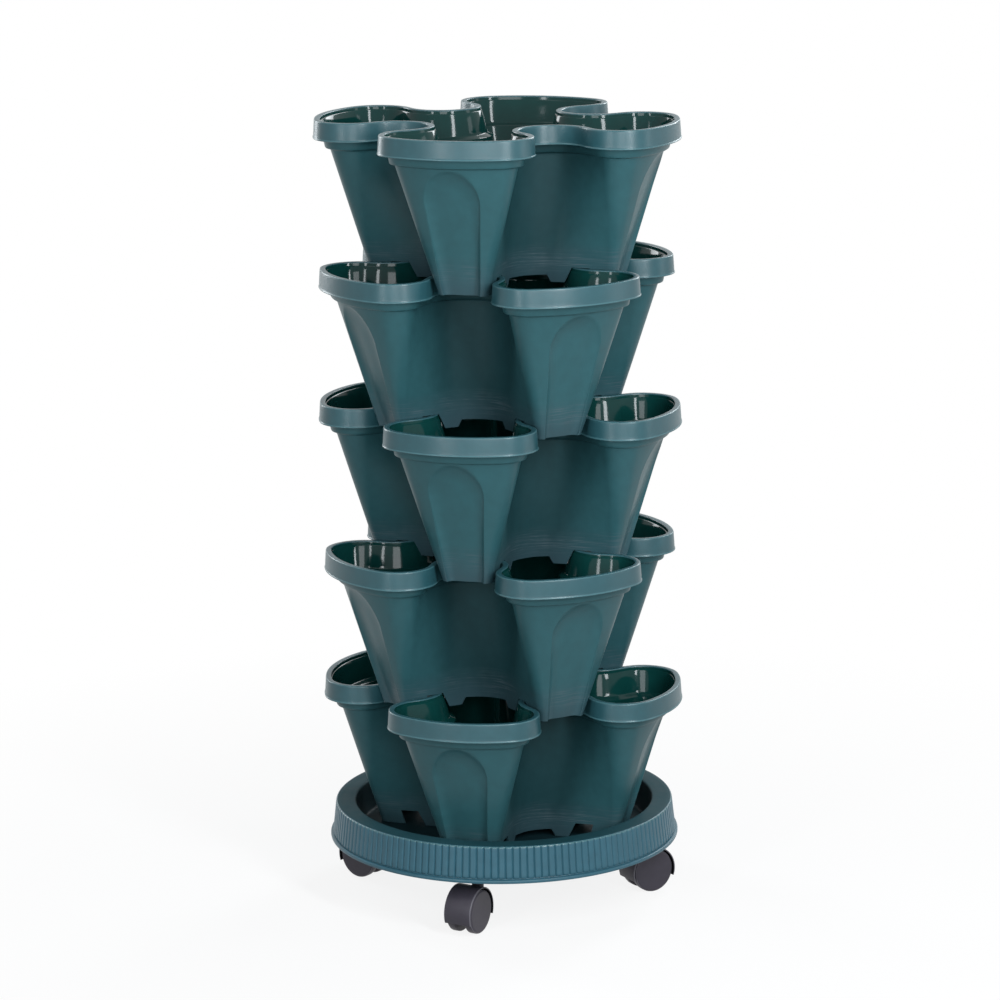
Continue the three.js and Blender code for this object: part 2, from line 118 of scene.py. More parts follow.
# Pots: the rim from the wall's top over the band's hollow, lip and top to its inside, as (inset, depth), with
# the material slot of each stretch
MATTE, GLOSS_SHADED, EDGE_HIGHLIGHT, BAND = range(4)
RIM_STRETCHES = [
    (MATTE, [
        (14.0, 27.0), (13.9, 26.5), (13.6, 26.15), (13.0, 25.95), (10.2, 25.35), (9.55, 25.1), (9.15, 24.6),
        (8.6, 22.0), (7.9, 18.6), (7.4, 17.0), (6.4, 13.8), (5.2, 10.2), (4.1, 6.6), (3.3, 4.0), (3.0, 3.3),
    ]),
    (BAND, [
        (2.7, 3.1), (2.45, 3.4), (2.2, 5.0), (1.7, 8.5), (1.1, 12.5), (0.55, 16.2), (0.45, 16.7), (0.2, 17.0),
        (-1.05, 17.0), (-1.4, 16.85),
    ]),
    # painted highlight: a lighter colour on the lip's rounded edge
    (EDGE_HIGHLIGHT, [(-1.5, 16.5), (-1.47, 16.15), (-1.25, 15.8)]),
    (BAND, [(-1.0, 15.5), (-0.9, 14.8), (-0.75, 12.0), (-0.5, 8.0), (-0.2, 3.6), (-0.05, 1.5)]),
    # painted highlight on the top's outer edge
    (EDGE_HIGHLIGHT, [(0.05, 0.75), (0.3, 0.25)]),
    (BAND, [(0.8, 0.0), (2.6, 0.0), (4.2, 0.0)]),
    # painted highlight on the top's inner edge
    (EDGE_HIGHLIGHT, [(4.7, 0.12)]),
    (BAND, [(4.95, 0.4)]),
    # the inside: a glossy finish, in a darker colour that is painted shade inside the pot
    (GLOSS_SHADED, [
        (5.05, 1.0), (5.2, 2.2), (5.35, 3.3), (5.7, 3.55), (5.95, 4.1), (7.2, 9.0), (8.6, 15.0), (10.1, 21.0),
        (10.7, 23.2), (10.95, 23.8), (11.5, 24.15), (13.2, 25.1), (15.3, 26.2), (15.85, 26.6), (16.0, 27.2),
    ]),
]

# Saucer
SAUCER_UNDER = 56.4
FLUTES = 152
FLUTE_DEPTH = 1.25
# columns from a groove's middle to a rib's, as shares of the pitch
FLUTE_COLUMN_SHARES = [0, 0.045, 0.09, 0.14, 0.2, 0.35, 0.5]
GROOVE_HALF_SHARE = 0.18
CASTERS = 4
CASTER_RING = 119.3
CASTER_RING_TURN = 4.5
BOSS_RADIUS = 9.0
BOSS_FOOT = 46.0
BOSS_STEPS = 36
BORE_RADIUS = 5.6
# from the underside down the boss and up its bore, as (radius, height)
BOSS_PROFILE = [
    (BOSS_RADIUS, SAUCER_UNDER), (BOSS_RADIUS - 0.3, BOSS_FOOT + 0.9), (BOSS_RADIUS - 0.45, BOSS_FOOT + 0.3),
    (BOSS_RADIUS - 0.9, BOSS_FOOT), (BORE_RADIUS + 0.4, BOSS_FOOT), (BORE_RADIUS, BOSS_FOOT + 0.4),
    (BORE_RADIUS, SAUCER_UNDER),
]
# from the middle of the underside outward, over the band and down into the basin, as (radius, height, share
# of the flutes' depth), with the material slot of each stretch
SIDE, FLANGE_SHADED, LINE_HIGHLIGHT, BASIN_SHADED = range(4)
SAUCER_STRETCHES = [
    (SIDE, [
        (133.2, SAUCER_UNDER, 0), (134.0, 56.7, 0), (134.5, 57.6, 0), (138.3, 81.6, 0), (138.8, 83.4, 0),
        (140.0, 84.1, 0), (152.0, 84.1, 0), (153.0, 83.7, 0), (153.6, 82.6, 0), (156.4, 56.0, 0),
        (156.6, 53.6, 0),
    ]),
    # painted highlight: the lighter edge colour on the bead's underside
    (LINE_HIGHLIGHT, [(156.9, 53.1, 0), (159.8, 53.1, 0)]),
    (SIDE, [
        (160.4, 53.4, 0), (160.6, 54.2, 0), (160.6, 55.4, 0), (160.3, 56.1, 0), (159.5, 56.45, 0),
        (157.5, 56.6, 0), (157.3, 57.0, 0), (158.3, 57.5, 1), (158.5, 57.9, 1), (158.2, 60.0, 1),
        (157.6, 65.0, 1), (157.0, 70.0, 1), (156.4, 75.0, 1), (155.9, 80.0, 1), (155.6, 82.6, 1),
        (155.45, 83.9, 1),
    ]),
    # painted highlight along the band's top edge
    (LINE_HIGHLIGHT, [(155.3, 84.7, 0.85), (155.0, 85.4, 0.45)]),
    (SIDE, [(154.6, 85.85, 0.1)]),
    # painted shade: the flange's top in a darker copy of the saucer's plastic
    (FLANGE_SHADED, [
        (154.0, 86.1, 0), (150.0, 86.1, 0), (144.0, 86.1, 0), (138.6, 86.1, 0), (137.6, 85.9, 0),
        (137.0, 85.4, 0),
    ]),
    # painted shade: the basin in a darker copy of the saucer's plastic
    (BASIN_SHADED, [
        (136.7, 84.4, 0), (136.0, 80.0, 0), (134.0, 68.0, 0), (132.8, 61.6, 0), (132.2, 60.0, 0),
        (131.2, 59.1, 0), (129.8, 58.9, 0),
    ]),
]

# Casters: each one's hood is drawn round its axle, which lies along Y, and its stem stands at the origin
CASTER_HEADINGS = [-12.2, 136.6, 214.5, -113.6]
TRAIL = 17.2
WHEEL_RADIUS = 20.0
WHEEL_WIDTH = 8.0
FACE_SET_IN = 0.3
CASTER_WIDTH = 26.4
CASTER_TURN_STEPS = 40
HOOD_RADIUS = 22.5
HOOD_THICKNESS = 1.2
HOOD_END = 20.0
HOOD_STEPS = 72
HOOD_OUTER_ROUNDING = 0.7
HOOD_INNER_ROUNDING = 0.25
HOOD_END_BEVEL = 0.35
ROUNDING_STEPS = 3
ROUNDING_SIDE_SHARE = 0.49  # the most of a side that a rounded corner takes
ROOM_RADIUS = HOOD_RADIUS - HOOD_THICKNESS
WEB_WIDTH = 7.0
WEB_RADIUS = 9.0
WEB_BEVEL = 0.3
WEB_TOP_STEPS = 40
WEB_FOOT_STEPS = 20
NECK_RADIUS = 5.4
NECK_FOOT = 24.2
NECK_TOP = 44.0
NECK_ROUNDING, NECK_ROUNDING_MIDDLE = 0.6, 0.2
ROOM_END = 40.0  # cutters end well past what they cut
STEM_BORE_END = 50.0
AXLE_BORE_HALF = 6.0
# the hood's slots; the faces inside it are painted shade, near black
SHELL, INSIDE_SHADED, LIP_HIGHLIGHT = range(3)
INSIDE_REACH = 0.15
# the hood's side lips carry a painted highlight
LIP_HIGHLIGHT_WIDTH = 0.5

# Casters: pins, wheels and bushes
PIN_GAP = 0.3
PIN_CHAMFER = 0.4
STEM_RADIUS = 3.0
STEM_FOOT = 26.0
STEM_TOP = 56.1
BORE_STEPS = 32
AXLE_RADIUS = 2.0
AXLE_HALF = 11.3
AXLE_COVER = 1.3
HUB_BEVEL = 0.2
WHEEL_STEPS = 96
# the tread's two edges and the outer face, as (in from the tread or radius, in from the side)
WHEEL_BACK_EDGE = [(1.4, 0.0), (0.6, 0.25), (0.15, 0.8), (0.0, 1.5)]
WHEEL_FACE_EDGE = [(0.0, 1.9), (0.2, 1.2), (0.7, 0.6), (1.5, 0.2), (2.4, 0.02), (3.1, 0.0)]
WHEEL_DISH = [(10.0, 0.05), (0.0, 0.08)]
# a lighter ring painted as a highlight on the wheel face's rounded outer edge
WHEEL_HIGHLIGHT_RADIUS = 18.9
WHEEL_HIGHLIGHT_DEPTH = 1.3
BUSH_RADIUS = 5.3
BUSH_FLANGE_RADIUS = 7.5
BUSH_FOOT = 44.3
BUSH_FLANGE_TOP = 45.7
BUSH_BEVEL = 0.3
BUSH_FOOT_BEVEL = 0.4

# Materials
MOTTLE_RANGE = (0.7, 1.3)
ROUGHNESS_SPREAD = 0.08
BUMP_DISTANCE = 0.0004
# painted shade in the valleys between a pot's lobes, darkening their colour and their specular level
VALLEY_PAINTED_SHADE = 0.5
VALLEY_SHADED_SPECULAR_SHARE = 0.5
SHADE_FROM, SHADE_TO = 0.05, 0.8  # where the painted shade fades out, as shares of the way from the valley to the tip
SCUFF = (0.10, 0.135, 0.155, 1.0)
SCUFF_STRETCH = (28, 28, 1100)
SCUFF_STRENGTH = 0.6
SCUFF_RISE = (0.008, 0.018)  # heights above the foot's edge, in metres, here and below
SCUFF_FALL = (0.024, 0.036)
SCUFF_LINE_RANGE = (0.48, 0.66)
SCUFF_PATCH_RANGE = (0.42, 0.62)
SCUFF_LEAST = 0.15
DUST = (0.038, 0.066, 0.084, 1.0)
DUST_STRENGTH = 0.55
DUST_FALL = (0.004, 0.036)

# Floor, light and camera
WHITE = (1.0, 1.0, 1.0, 1.0)
FLOOR_HALF = 30
FLOOR_DARK, FLOOR_PALE = 0.25, 0.95  # the floor's colour as it lights the object, and as it is seen
FLOOR_NEAR, FLOOR_FAR = 0.25, 0.9
FLOOR_NEAR_GLOW = 0.86
WORLD_FILL = 0.0  # the lamps alone light the object
WORLD_FILL_COLOUR = (0.95, 0.97, 1.0, 1.0)
LAMP_COLOUR = (0.93, 0.97, 1.0)
LAMP_AIM = 0.38
# name, azimuth, elevation, distance, width, height and watts; azimuth 0 is in front, toward -Y
LAMPS = [
    ("key", 46, 27, 1.7, 0.22, 1.2, 23),
    ("front", 18, 13, 2.4, 0.9, 0.9, 18),
    ("strip_left", -16, 12, 2.2, 0.2, 1.2, 13),
    ("front_high", -40, 60, 1.8, 0.5, 0.8, 3),
    ("back_left", -118, 18, 2.0, 0.5, 1.2, 14),
    ("back_right", 160, 30, 2.0, 0.6, 1.2, 18),
    ("side_right", 100, 10, 2.2, 0.5, 1.2, 5),
]
CAMERA_AZIMUTH = 16.33
CAMERA_DISTANCE = 3.446
CAMERA_HEIGHT = 1.1505
CAMERA_PITCH = 12.815
CAMERA_ROLL = -0.655
CAMERA_LENS = 139.77
CAMERA_SENSOR = 36.0
CAMERA_SHIFT = -0.0006


# Helpers for shapes
def mix(a, b, share):
    return a + (b - a) * share


def unit(angle):
    """The direction at an angle, or at each of several angles."""
    return np.stack([np.cos(angle), np.sin(angle)], axis=-1)


def stepped(marks, steps):
    """Values from the first mark to the last, in even steps from mark to mark, without the first."""
    return np.concatenate([np.linspace(a, b, n + 1)[1:] for a, b, n in zip(marks, marks[1:], steps)])


def circle(x, y, radius, height, steps):
    turn = np.linspace(0, 2 * math.pi, steps, endpoint=False)
    return np.column_stack([x + radius * np.cos(turn), y + radius * np.sin(turn), np.full(steps, height)])


def finished(bm, name, sharp=35):
    """A mesh from a bmesh, smooth but for the edges that turn by more than the angle."""
    bmesh.ops.recalc_face_normals(bm, faces=bm.faces)
    mesh = bpy.data.meshes.new(name)
    bm.to_mesh(mesh)
    bm.free()
    mesh.shade_smooth()
    mesh.set_sharp_from_angle(angle=math.radians(sharp))
    return mesh


class Skin:
    """A mesh in the making: its vertices in metres, its faces and their material slots."""

    def __init__(self):
        self.vertices = []
        self.faces = []
        self.slots = []

    def ring(self, points):
        """Add points given in millimetres. Returns their indices."""
        first = len(self.vertices)
        self.vertices.extend(tuple(point) for point in points * MM)
        return list(range(first, len(self.vertices)))

    def face(self, corners, slot=0):
        self.faces.append(tuple(corners))
        self.slots.append(slot)

    def strip(self, a, b, slot=0):
        """The quads between two rings."""
        for i in range(len(a)):
            k = (i + 1) % len(a)
            self.face((a[i], a[k], b[k], b[i]), slot)

    def cap(self, loops, slot=0):
        """The flat surface inside the first loop and outside the others."""
        flat = [i for loop in loops for i in loop]
        for triangle in tessellate_polygon([[Vector(self.vertices[i]) for i in loop] for loop in loops]):
            self.face([flat[i] for i in triangle], slot)

    def mesh(self, name, sharp):
        raw = bpy.data.meshes.new(name)
        raw.from_pydata(self.vertices, [], self.faces)
        raw.polygons.foreach_set("material_index", self.slots)
        bm = bmesh.new()
        bm.from_mesh(raw)
        bpy.data.meshes.remove(raw)
        bmesh.ops.delete(bm, geom=[v for v in bm.verts if not v.link_faces], context="VERTS")
        return finished(bm, name, sharp)


def rounded(profile, radii):
    """A closed profile with each corner rounded by its own radius."""
    points = []
    for i, (corner, radius) in enumerate(zip(profile, radii)):
        p = np.array(corner, float)
        a = np.array(profile[i - 1], float) - p
        b = np.array(profile[(i + 1) % len(profile)], float) - p
        a_length, b_length = np.hypot(*a), np.hypot(*b)
        a, b = a / a_length, b / b_length
        half = math.acos(float(a @ b)) / 2
        cut = min(radius / math.tan(half), ROUNDING_SIDE_SHARE * a_length, ROUNDING_SIDE_SHARE * b_length)
        for t in np.linspace(0, 1, ROUNDING_STEPS + 1):
            points.append(tuple(p + a * cut * (1 - t) ** 2 + b * cut * t**2))
    return points


def lathe(profile, steps, closed=False):
    """Turned about Z from (radius, height). A radius of 0 becomes one point on the axis."""
    bm = bmesh.new()
    rings = []
    for radius, height in profile:
        points = circle(0, 0, radius, height, steps if radius else 1) * MM
        rings.append([bm.verts.new(point) for point in points])
    pairs = list(zip(rings, rings[1:])) + ([(rings[-1], rings[0])] if closed else [])
    for a, b in pairs:
        for i in range(steps):
            k = (i + 1) % steps
            corners = list(dict.fromkeys([a[i % len(a)], a[k % len(a)], b[k % len(b)], b[i % len(b)]]))
            if len(corners) > 2:
                bm.faces.new(corners)
    return bm


def bevel_ends(bm, offset):
    """Round the edges of the many-sided faces, which are the ends of a swept form."""
    bmesh.ops.recalc_face_normals(bm, faces=bm.faces)
    edges = list({edge for face in bm.faces if len(face.verts) > 4 for edge in face.edges})
    bmesh.ops.bevel(bm, geom=edges, offset=offset * MM, segments=2, affect="EDGES", clamp_overlap=True)


def object_of(bm, name):
    piece = bpy.data.objects.new(name, finished(bm, name))
    bpy.context.scene.collection.objects.link(piece)
    return piece


def combined(base, others, operation):
    """The base object with its mesh after exact booleans with the others, which are removed."""
    for other in others:
        modifier = base.modifiers.new(operation, "BOOLEAN")
        modifier.operation = operation
        modifier.object = other
        modifier.solver = "EXACT"
    bpy.context.view_layer.update()
    evaluated = base.evaluated_get(bpy.context.evaluated_depsgraph_get())
    mesh = bpy.data.meshes.new_from_object(evaluated)
    for other in others:
        bpy.data.objects.remove(other)
    base.modifiers.clear()
    base.data = mesh
    return base


# Pot
def inset(outline, by):
    moved = {key: outline[key] - by for key in ("reach", "face", "half", "corner")}
    return {**moved, "valley_at": outline["valley_at"], "valley": outline["valley"] + by}


WALL_TOP = inset(RIM, WALL_TOP_INSET)


def wall_outline(height):
    share = height / (POT_HEIGHT - WALL_TOP_DEPTH)
    return {key: mix(FOOT[key], WALL_TOP[key], share) for key in FOOT}


def lobe_places(outline):
    """The middles of half a lobe's corner and valley, and the angles at which the corner leaves the face and
    meets the straight side."""
    across = outline["half"] - outline["corner"]
    along = math.sqrt((outline["face"] - outline["corner"]) ** 2 - across**2)
    corner = np.array([outline["reach"] - outline["face"] + along, across])
    valley = outline["valley_at"] * unit(math.pi / LOBES)
    line = valley - corner
    touching = min(1.0, (outline["corner"] + outline["valley"]) / np.hypot(*line))
    face_angle = math.atan2(across, along)
    side_angle = math.atan2(line[1], line[0]) - math.acos(touching)
    return corner, valley, face_angle, side_angle


def side_ends(outline):
    """The ends of the straight side, at the corner and at the valley."""
    corner, valley, _, side_angle = lobe_places(outline)
    return corner + outline["corner"] * unit(side_angle), valley - outline["valley"] * unit(side_angle)


def slot_edges(outline, height):
    """The foot's slot on the straight side, as shares of it, kept from the slot's top upward."""
    if height > SLOT_TOP:
        return slot_edges(wall_outline(SLOT_TOP), SLOT_TOP)
    start, end = side_ends(outline)
    low = (SLOT_TOP - height) / SLOT_LEAN_HEIGHT
    edges = (SLOT_OUTER - SLOT_OUTER_LEAN * low, SLOT_INNER - SLOT_INNER_LEAN * low)
    return [(start[0] - edge) / (start[0] - end[0]) for edge in edges]


def arch_edge(outline, height):
    """The edge of the foot's arch on the valley's arc, as a share of it, kept from the arch's top upward."""
    if height > ARCH_TOP:
        return arch_edge(wall_outline(ARCH_TOP), ARCH_TOP)
    turn = lobe_places(outline)[-1] - math.pi / LOBES
    half = mix(ARCH_HALF, ARCH_HALF_TOP, height / ARCH_TOP)
    return max(ARCH_LEAST_SHARE, (turn - math.asin(half / outline["valley"])) / turn)


def recess_depth(shares, straight, down):
    """The recess's depth at shares of its half width: a scoop whose sides steepen toward the foot, with a
    small crisp step round its edge."""
    if down < RECESS_CROWN - RECESS_MARGIN:
        return np.zeros_like(shares)
    rise = max(0.0, (RECESS_SPRING - down) / (RECESS_SPRING - RECESS_CROWN))
    reach = np.hypot(shares, rise)
    scoop = mix(RECESS_FOOT_DEPTH, RECESS_SPRING_FLOOR, straight) - RECESS_CROWN_STEP
    hollow = 1 - np.minimum(reach, 1) ** mix(*RECESS_CURVES, straight)
    step = np.interp(reach, RECESS_STEP_REACHES, RECESS_STEP_SHARES)
    return scoop * hollow + RECESS_CROWN_STEP * step


def face_points(outline, height):
    """The face across a lobe's tip, whose first columns follow the sides of the recess."""
    straight = min(1.0, height / (POT_HEIGHT - RECESS_SPRING))
    face_end = outline["face"] * math.sin(lobe_places(outline)[2])
    recess_half = min(mix(RECESS_FOOT_HALF, RECESS_HALF, straight), RECESS_FACE_SHARE * face_end)
    beside = np.linspace(recess_half * RECESS_COLUMN_SHARES[-1], face_end, BESIDE_STEPS + 1)[1:]
    offsets = np.concatenate([recess_half * np.array(RECESS_COLUMN_SHARES), beside])
    angles = np.arcsin(offsets / outline["face"])
    plain = outline["reach"] - outline["face"] + outline["face"] * np.cos(angles)
    dent = recess_depth(offsets / recess_half, straight, POT_HEIGHT - height)
    return np.column_stack([plain - dent, offsets])


def half_lobe(outline, height):
    """Half a lobe's edge at a height above the foot, as an array of [along, across]."""
    corner, valley, face_angle, side_angle = lobe_places(outline)
    corner_angles = np.linspace(face_angle, side_angle, CORNER_STEPS + 1)[1:]
    start, end = side_ends(outline)
    side_shares = stepped([0, *slot_edges(outline, height), 1], SIDE_STEPS)
    valley_shares = stepped([0, arch_edge(outline, height), 1], VALLEY_STEPS)
    return np.concatenate([
        face_points(outline, height),
        corner + outline["corner"] * unit(corner_angles),
        start + side_shares[:, None] * (end - start),
        valley - outline["valley"] * unit(mix(side_angle, math.pi / LOBES, valley_shares)),
    ])


def full_ring(outline, height):
    half = half_lobe(outline, height)
    mirrored = half[::-1] * np.array([1, -1])
    lobe = np.concatenate([mirrored[:-1], half[:-1]])
    lobes = []
    for k in range(LOBES):
        angle = 2 * math.pi * k / LOBES
        turn = np.array([[math.cos(angle), math.sin(angle)], [-math.sin(angle), math.cos(angle)]])
        lobes.append(lobe @ turn)
    flat = np.concatenate(lobes)
    return np.column_stack([flat, np.full(len(flat), height)])


def cell_kinds():
    """What each cell round the pot is at the foot: "slot", "arch" or "wall"."""
    side_start = len(RECESS_COLUMN_SHARES) + BESIDE_STEPS + CORNER_STEPS - 1
    outside, within, beyond = SIDE_STEPS
    half = ["wall"] * (side_start + outside) + ["slot"] * within + ["wall"] * (beyond + VALLEY_STEPS[0])
    half += ["arch"] * VALLEY_STEPS[1]
    return (half[::-1] + half) * LOBES


def is_open(kind, row):
    """Is the cell above that row of the skirt part of an opening?"""
    return row < len(SKIRT_HEIGHTS) - 1 and SKIRT_HEIGHTS[row] < OPENING_TOPS[kind]


def pot_levels():
    """The pot's rings from the floor's underside down inside the foot, up the wall, over the rim and down to
    the floor, as (outline, height, slot)."""
    levels = [(inset(wall_outline(h), WALL), h, MATTE) for h in [FLOOR_UNDER, *SKIRT_HEIGHTS[::-1]]]
    levels += [(wall_outline(h), h, MATTE) for h in [*SKIRT_HEIGHTS, *WALL_HEIGHTS]]
    for slot, points in RIM_STRETCHES:
        levels += [(inset(RIM, by), POT_HEIGHT - down, slot) for by, down in points]
    lowest = FLOOR_TOP + FLOOR_FILLET[0][1] + FILLET_CLEARANCE
    levels += [(inset(wall_outline(h), WALL), h, GLOSS_SHADED) for h in WALL_HEIGHTS[::-1] if h > lowest]
    for by, up in FLOOR_FILLET:
        levels.append((inset(wall_outline(FLOOR_TOP + up), WALL + by), FLOOR_TOP + up, GLOSS_SHADED))
    return levels


def add_opening_sides(skin, rings, kinds):
    """The faces through the foot's thickness, at the sides and the top of each opening."""
    inside, outside = rings[SKIRT::-1], rings[SKIRT + 1:]

    def through(row, c, other_row, d):
        skin.face((inside[row][c], outside[row][c], outside[other_row][d], inside[other_row][d]), MATTE)

    for c, kind in enumerate(kinds):
        for row in range(len(SKIRT_HEIGHTS) - 1):
            if is_open(kind, row) != is_open(kinds[c - 1], row):
                through(row, c, row + 1, c)
        if kind != "wall":
            top = SKIRT_HEIGHTS.index(OPENING_TOPS[kind])
            through(top, c, top, (c + 1) % len(kinds))


def drain_holes():
    """Each drain hole's middle, radius and number of sides."""
    holes = [(0.0, 0.0, MIDDLE_DRAIN_RADIUS, MIDDLE_DRAIN_STEPS)]
    for k in range(LOBES):
        x, y = DRAIN_AT * unit(2 * math.pi * k / LOBES)
        holes.append((x, y, DRAIN_RADIUS, DRAIN_STEPS))
    return holes


def add_floor(skin, rings):
    """The floor's underside and top, and the sides of its drain holes."""
    drains = []
    for ring, height, slot in ((rings[0], FLOOR_UNDER, MATTE), (rings[-1], FLOOR_TOP, GLOSS_SHADED)):
        holes = [skin.ring(circle(x, y, radius, height, steps)) for x, y, radius, steps in drain_holes()]
        skin.cap([ring, *holes], slot)
        drains.append(holes)
    for low, high in zip(*drains):
        skin.strip(low, high, GLOSS_SHADED)


def pot_mesh():
    """The pot as one closed skin, its foot's edge at height 0."""
    skin = Skin()
    levels = pot_levels()
    rings = [skin.ring(full_ring(outline, height)) for outline, height, _ in levels]
    kinds = cell_kinds()
    for r, (a, b) in enumerate(zip(rings, rings[1:])):
        row = max(0, SKIRT - 1 - r, r - SKIRT - 1)
        for c, kind in enumerate(kinds):
            d = (c + 1) % len(kinds)
            if not is_open(kind, row):
                skin.face((a[c], a[d], b[d], b[c]), levels[r][2])
    add_opening_sides(skin, rings, kinds)
    add_floor(skin, rings)
    return skin.mesh("pot", sharp=38)


# Saucer
def stem_place(index):
    angle = math.radians(CASTER_RING_TURN + index * 360 / CASTERS)
    return CASTER_RING * math.sin(angle), -CASTER_RING * math.cos(angle)


def add_boss(skin, x, y):
    """A stem's boss under the saucer with its blind bore. Returns the boss's edge on the underside."""
    rings = [skin.ring(circle(x, y, radius, height, BOSS_STEPS)) for radius, height in BOSS_PROFILE]
    for a, b in zip(rings, rings[1:]):
        skin.strip(a, b, SIDE)
    skin.face(rings[-1], SIDE)
    return rings[0]


def saucer_mesh():
    """The saucer, turned about Z, with flat ribs and narrow rounded grooves round its band."""
    columns = np.array(FLUTE_COLUMN_SHARES + [1 - share for share in FLUTE_COLUMN_SHARES[-2:0:-1]])
    turn = (np.arange(FLUTES)[:, None] + columns).ravel() * 2 * math.pi / FLUTES
    off = np.minimum(columns, 1 - columns) / GROOVE_HALF_SHARE
    groove = np.tile(0.5 + 0.5 * np.cos(np.pi * np.minimum(off, 1)), FLUTES)
    skin = Skin()
    rings, slots = [], []
    for slot, points in SAUCER_STRETCHES:
        for radius, height, flute in points:
            edge = (radius - FLUTE_DEPTH * flute * groove)[:, None] * unit(turn)
            rings.append(skin.ring(np.column_stack([edge, np.full(len(turn), height)])))
            slots.append(slot)
    for a, b, slot in zip(rings, rings[1:], slots):
        skin.strip(a, b, slot)
    bosses = [add_boss(skin, *stem_place(k)) for k in range(CASTERS)]
    skin.cap([rings[0], *bosses], SIDE)
    skin.face(rings[-1], BASIN_SHADED)
    return skin.mesh("tray", sharp=40)


# Casters
def hood_angles(steps):
    """Angles round the axle from one end of the hood over its top to the other."""
    return [math.radians(mix(-HOOD_END, 180 + HOOD_END, i / steps)) for i in range(steps + 1)]


def swept_hood():
    """The barrel over both wheels."""
    half = CASTER_WIDTH / 2
    section = rounded(
        [(HOOD_RADIUS, -half), (HOOD_RADIUS, half), (ROOM_RADIUS, half), (ROOM_RADIUS, -half)],
        [HOOD_OUTER_ROUNDING, HOOD_OUTER_ROUNDING, HOOD_INNER_ROUNDING, HOOD_INNER_ROUNDING],
    )
    bm = bmesh.new()
    rings = []
    for angle in hood_angles(HOOD_STEPS):
        x, z = math.cos(angle), math.sin(angle)
        points = [(TRAIL + r * x, y, WHEEL_RADIUS + r * z) for r, y in section]
        rings.append([bm.verts.new((x * MM, y * MM, z * MM)) for x, y, z in points])
    for a, b in zip(rings, rings[1:]):
        for i in range(len(section)):
            k = (i + 1) % len(section)
            bm.faces.new((a[i], a[k], b[k], b[i]))
    bm.faces.new(rings[0])
    bm.faces.new(rings[-1][::-1])
    bevel_ends(bm, HOOD_END_BEVEL)
    return bm


def web_plate():
    """The upright plate between the wheels, up to the hood and round below the axle."""
    inner = HOOD_RADIUS - HOOD_THICKNESS / 2
    below = [math.pi * (1 + i / WEB_FOOT_STEPS) for i in range(WEB_FOOT_STEPS + 1)]
    outline = [(inner, angle) for angle in hood_angles(WEB_TOP_STEPS)]
    outline += [(WEB_RADIUS, angle) for angle in below]
    points = [(TRAIL + r * math.cos(angle), WHEEL_RADIUS + r * math.sin(angle)) for r, angle in outline]
    bm = bmesh.new()
    front = [bm.verts.new((x * MM, -WEB_WIDTH / 2 * MM, z * MM)) for x, z in points]
    back = [bm.verts.new((x * MM, WEB_WIDTH / 2 * MM, z * MM)) for x, z in points]
    for i in range(len(points)):
        k = (i + 1) % len(points)
        bm.faces.new((front[i], front[k], back[k], back[i]))
    bm.faces.new(front)
    bm.faces.new(back[::-1])
    bevel_ends(bm, WEB_BEVEL)
    return bm


def at_axle(side):
    """Lays a piece that is turned about Z along the axle, its upper end toward -Y for a side of 1."""
    where = Matrix.Translation((TRAIL * MM, 0, WHEEL_RADIUS * MM))
    return where @ Matrix.Rotation(side * math.pi / 2, 4, "X")


def neck_with_rooms():
    """The neck round the stem, cut back where the wheels have their room."""
    profile = [(0, NECK_FOOT), (NECK_RADIUS, NECK_FOOT), (NECK_RADIUS, NECK_TOP - NECK_ROUNDING)]
    profile.append((NECK_RADIUS - NECK_ROUNDING_MIDDLE, NECK_TOP - NECK_ROUNDING_MIDDLE))
    profile += [(NECK_RADIUS - NECK_ROUNDING, NECK_TOP), (0, NECK_TOP)]
    neck = object_of(lathe(profile, CASTER_TURN_STEPS), "neck")
    half_web = WEB_WIDTH / 2
    for side in (-1, 1):
        profile = [(0, half_web), (ROOM_RADIUS, half_web), (ROOM_RADIUS, ROOM_END), (0, ROOM_END)]
        room = object_of(lathe(profile, HOOD_STEPS), f"room_{side}")
        room.matrix_world = at_axle(-side)
        combined(neck, [room], "DIFFERENCE")
    return neck


def housing_mesh():
    """The hood, the web and the neck in one, with the stem's and the axle's bores."""
    hood = object_of(swept_hood(), "hood")
    web = object_of(web_plate(), "web")
    body = combined(hood, [web, neck_with_rooms()], "UNION")
    stem_room, axle_room = STEM_RADIUS + PIN_GAP, AXLE_RADIUS + PIN_GAP
    stem_foot = STEM_FOOT - PIN_GAP
    stem_bore = lathe([
        (0, stem_foot), (stem_room, stem_foot), (stem_room, STEM_BORE_END), (0, STEM_BORE_END),
    ], BORE_STEPS)
    axle_bore = lathe([
        (0, -AXLE_BORE_HALF), (axle_room, -AXLE_BORE_HALF), (axle_room, AXLE_BORE_HALF), (0, AXLE_BORE_HALF),
    ], BORE_STEPS)
    cutters = [object_of(stem_bore, "stem_bore"), object_of(axle_bore, "axle_bore")]
    cutters[1].matrix_world = at_axle(1)
    body = combined(body, cutters, "DIFFERENCE")
    mesh = body.data
    bpy.data.objects.remove(body)
    # the faces inside the hood take the near-black slot, painted shade
    for face in mesh.polygons:
        x, y, z = face.center / MM
        inside = math.hypot(x - TRAIL, z - WHEEL_RADIUS) < ROOM_RADIUS + INSIDE_REACH
        # the hood's side lips take the lighter slot, a painted highlight
        lip = abs(y) > CASTER_WIDTH / 2 - LIP_HIGHLIGHT_WIDTH
        face.material_index = INSIDE_SHADED if inside else LIP_HIGHLIGHT if lip else SHELL
    mesh.shade_smooth()
    mesh.set_sharp_from_angle(angle=math.radians(35))
    mesh.name = "caster_housing"
    return mesh


